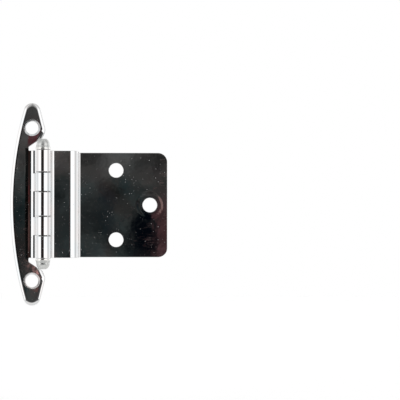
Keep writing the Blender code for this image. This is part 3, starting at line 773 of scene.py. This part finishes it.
flat_from = rows[-1, 0]
corner, _ = arc(END_X - DOOR_CORNER, HALF_BARREL - DOOR_CORNER, DOOR_CORNER - EDGE, 90.0, 0.0, 12)
top_x = levels((flat_from, END_X - DOOR_CORNER), OUTLINE_STEP)[1:-1]
corner_low = HALF_BARREL - DOOR_CORNER
side_z = levels((-corner_low, corner_low), OUTLINE_STEP)[1:-1][::-1]
flat_edge = np.vstack([
    np.stack([np.full(len(door_z), flat_from), door_z], 1),
    np.stack([top_x, np.full(len(top_x), barrel_end)], 1), corner,
    np.stack([np.full(len(side_z), END_X - EDGE), side_z], 1), (corner * [1.0, -1.0])[::-1],
    np.stack([top_x[::-1], np.full(len(top_x), -barrel_end)], 1)])
door_holes = [ring(x, z, DOOR_HOLE + EDGE, HOLE_SIDES) for x, z in DOOR_HOLES]
plan, flat_faces = fill(flat_edge, door_holes, DOOR_STEP)
flat_front = np.stack([plan[:, 0], np.full(len(plan), DOOR_FRONT), plan[:, 1]], 1)
# The press left the metal a hair proud round the middle hole: there the normals lean outwards.
from_hole = plan - np.array(DOOR_HOLES[1])
away = np.linalg.norm(from_hole, axis=1, keepdims=True)
lean = from_hole / away * PROUD_LEAN * np.exp(-((away - PROUD_R) / PROUD_WIDE) ** 2)
flat_normals = np.stack([lean[:, 0], np.full(len(plan), -1.0), lean[:, 1]], 1)

front = np.vstack([flat_front, strip_front.reshape(-1, 3)])
normals = np.vstack([flat_normals, strip_normals.reshape(-1, 3)])
faces = np.vstack([flat_faces, halves(strip_quads) + len(flat_front)])
back = front - normals / np.linalg.norm(normals, axis=1, keepdims=True) * SHEET
back[:len(flat_front)] = flat_front + [0.0, SHEET, 0.0]
door = pressed("door_leaf_plated", front, back, normals, faces,
               plain_edge(EDGE, SHEET), dark_walls=knuckle_end)
door.data.materials.append(plated("door_chrome", CHROME, 0.77))
door.data.materials.append(dull_steel_and_painted_shadow("door_cut_edge", *DOOR_CUT))
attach(door, "door_side")
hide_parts("door_leaf")

# Pin: a plain steel rod, turned thinner inside each cap, with rounded ends. It is pushed through
# the five knuckles, and the door leaf's three turn on it.

PIN = 1.52
SPIGOT, SPIGOT_END = 0.7, 22.8          # the thinner end's radius and reach
TURNED_SIDES = 96
PIN_STEEL = ((0.30, 0.295, 0.28), (0.46, 0.45, 0.43))


def rounded(corners, steps):
    """Path through (x, y, radius) corners, each rounded by a circle's arc tangent to its sides.

    With the sides' unit vectors d0 and d1 and the turn w between them, the arc starts r*tan(w/2)
    before the corner. Returns the points and the unit normals on the path's right.
    """
    place, radius = np.asarray(corners, float)[:, :2], np.asarray(corners, float)[:, 2]
    side = np.diff(place, axis=0)
    side /= np.linalg.norm(side, axis=1, keepdims=True)
    before, after = side[:-1], side[1:]
    turn = np.arctan2(before[:, 0] * after[:, 1] - before[:, 1] * after[:, 0],
                      np.sum(before * after, 1))
    start = place[1:-1] - before * (radius[1:-1] * np.abs(np.tan(turn / 2)))[:, None]
    heading = np.arctan2(before[:, 1], before[:, 0])
    share = np.linspace(0.0, 1.0, steps + 1)[None, :]
    angle = heading[:, None] + turn[:, None] * share
    reach = (radius[1:-1] * np.sign(turn))[:, None]
    arcs = start[:, None] + np.stack([reach * (np.sin(angle) - np.sin(heading)[:, None]),
                                      reach * (np.cos(heading)[:, None] - np.cos(angle))], -1)
    normals = np.stack([np.sin(angle), -np.cos(angle)], -1)
    first = np.array([side[0, 1], -side[0, 0]])
    last = np.array([side[-1, 1], -side[-1, 0]])
    return (np.vstack([place[:1], arcs.reshape(-1, 2), place[-1:]]),
            np.vstack([first, normals.reshape(-1, 2), last]))


def turned(name, path, normal, count, closed):
    """Turn a path of (radius, height) round the pin's axis, out along each angle.

    An open path starts and ends on the axis, where its ring shrinks to one point.
    """
    angle = np.arange(count) * 2 * np.pi / count
    spoke = np.stack([np.cos(angle), np.sin(angle), np.zeros(count)], 1)
    lift = np.array([0.0, 0.0, 1.0])
    points = path[:, None, :1] * spoke[None] + path[:, None, 1:] * lift
    shading = normal[:, None, :1] * spoke[None] + normal[:, None, 1:] * lift
    number = np.arange(len(path) * count).reshape(len(path), count)
    if closed:
        number = np.vstack([number, number[:1]])
    else:
        number[0], number[-1] = number[0, 0], number[-1, 0]
    here, there = number[:-1], number[1:]
    quads = np.stack([here, np.roll(here, -1, 1), np.roll(there, -1, 1), there], -1).reshape(-1, 4)
    used, packed = np.unique(quads, return_inverse=True)
    quads = packed.reshape(-1, 4)
    faces = [face[face != np.roll(face, 1)].tolist() for face in quads]
    return finished(name, points.reshape(-1, 3)[used], shading.reshape(-1, 3)[used], faces)


pin_path, pin_normal = rounded((
    (0.0, -SPIGOT_END, 0.0), (SPIGOT, -SPIGOT_END, 0.25), (SPIGOT, -HALF_BARREL, 0.05),
    (PIN, -HALF_BARREL, 0.2), (PIN, HALF_BARREL, 0.2), (SPIGOT, HALF_BARREL, 0.05),
    (SPIGOT, SPIGOT_END, 0.25), (0.0, SPIGOT_END, 0.0)), 5)
pin = turned("hinge_pin_steel", pin_path, pin_normal, TURNED_SIDES, closed=False)
pin.data.materials.append(dull_steel_and_painted_shadow("pin_steel", *PIN_STEEL))
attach(pin, "frame_side")
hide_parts("hinge_pin")

# Caps: turned from steel and nickel-plated, waisted and domed, with a bore in which the pin's end
# shows. One is pressed on each end of the pin.

CAP_BORE, CAP_DEPTH = 1.0, 1.8
CAP_FOOT_Z = 19.25
CAP_STRAIGHT, CAP_WAIST, CAP_TOP = 0.435, 1.46, 3.95    # heights above the foot
CAP_WAIST_R = 2.34
FOOT_TOP = (CAP_FOOT_Z + 0.55) * MM
DOME_STEPS = 9
DOME_BLEND, MOUTH_BREAK = 0.9, 0.1      # rounding between the dome's steps, and at its mouth
NICKEL, FOOT_HIGHLIGHT_NICKEL = (0.68, 0.68, 0.66), (0.90, 0.89, 0.86)
MOTTLE_WAVES = 500.0
TURNING_STRETCH, TURNING_HEIGHT = (60.0, 60.0, 6000.0), 0.000002


def satin(name, tint):
    """Satin nickel: fine turning rings in the bump, round the pin, and a soft noise in the haze.

    The foot, nearer to the middle of the pin than FOOT_TOP, is smoother than the dome, and its
    colour is paler: a painted highlight.
    """
    made, tree, metal, place = metal_material(name)
    metal.inputs["Metallic"].default_value = 1.0
    mottle = noise(tree, place, MOTTLE_WAVES, 2.0)
    colour = ramp(tree, mottle, 0.0, 1.0, (
        (0.35, (tint[0] * 0.95, tint[1] * 0.97, tint[2] * 0.98)), (0.65, tint)))
    along = math_node(tree, "ABSOLUTE", node(tree, "ShaderNodeSeparateXYZ", place).outputs[2])
    foot = spread(tree, along, FOOT_TOP + 0.0002, FOOT_TOP - 0.0001)
    # Painted highlight: the foot's colour is paler than the dome's nickel.
    colour = blend(tree, foot, colour, FOOT_HIGHLIGHT_NICKEL)
    rings = noise(tree, stretched(tree, place, NO_TURN, TURNING_STRETCH), 1.0, 2.0)
    rough = math_node(tree, "MULTIPLY_ADD", mottle, 0.06, 0.27)
    rough = math_node(tree, "MULTIPLY_ADD", foot, -0.17, rough)
    coat(tree, metal, colour, rough, rings, TURNING_HEIGHT)
    return made


# The dome is part of an ellipse, from the waist's full radius in to the bore.
dome = np.linspace(0.0, np.arccos(CAP_BORE / CAP_WAIST_R), DOME_STEPS)
dome_corners = np.stack([CAP_WAIST_R * np.cos(dome),
                         CAP_WAIST + (CAP_TOP - CAP_WAIST) * np.sin(dome),
                         np.full(DOME_STEPS, DOME_BLEND)], 1)
dome_corners[-1, 2] = MOUTH_BREAK
for name, way in (("upper", 1), ("lower", -1)):
    cap = np.vstack([((CAP_BORE, CAP_DEPTH, 0.0), (CAP_BORE, 0.0, 0.05), (BARREL, 0.0, EDGE),
                      (BARREL, CAP_STRAIGHT, 0.4)), dome_corners, ((CAP_BORE, CAP_DEPTH, 0.0),)])
    cap[:, 1] = way * (CAP_FOOT_Z + cap[:, 1])
    cap_path, cap_normal = rounded(cap[::way], 4)
    tip = turned(name + "_tip_turned", cap_path[:-1], cap_normal[:-1], TURNED_SIDES, closed=True)
    tip.data.materials.append(satin(name + "_tip_nickel", NICKEL))
    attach(tip, "frame_side")
    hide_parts(name + "_tip")
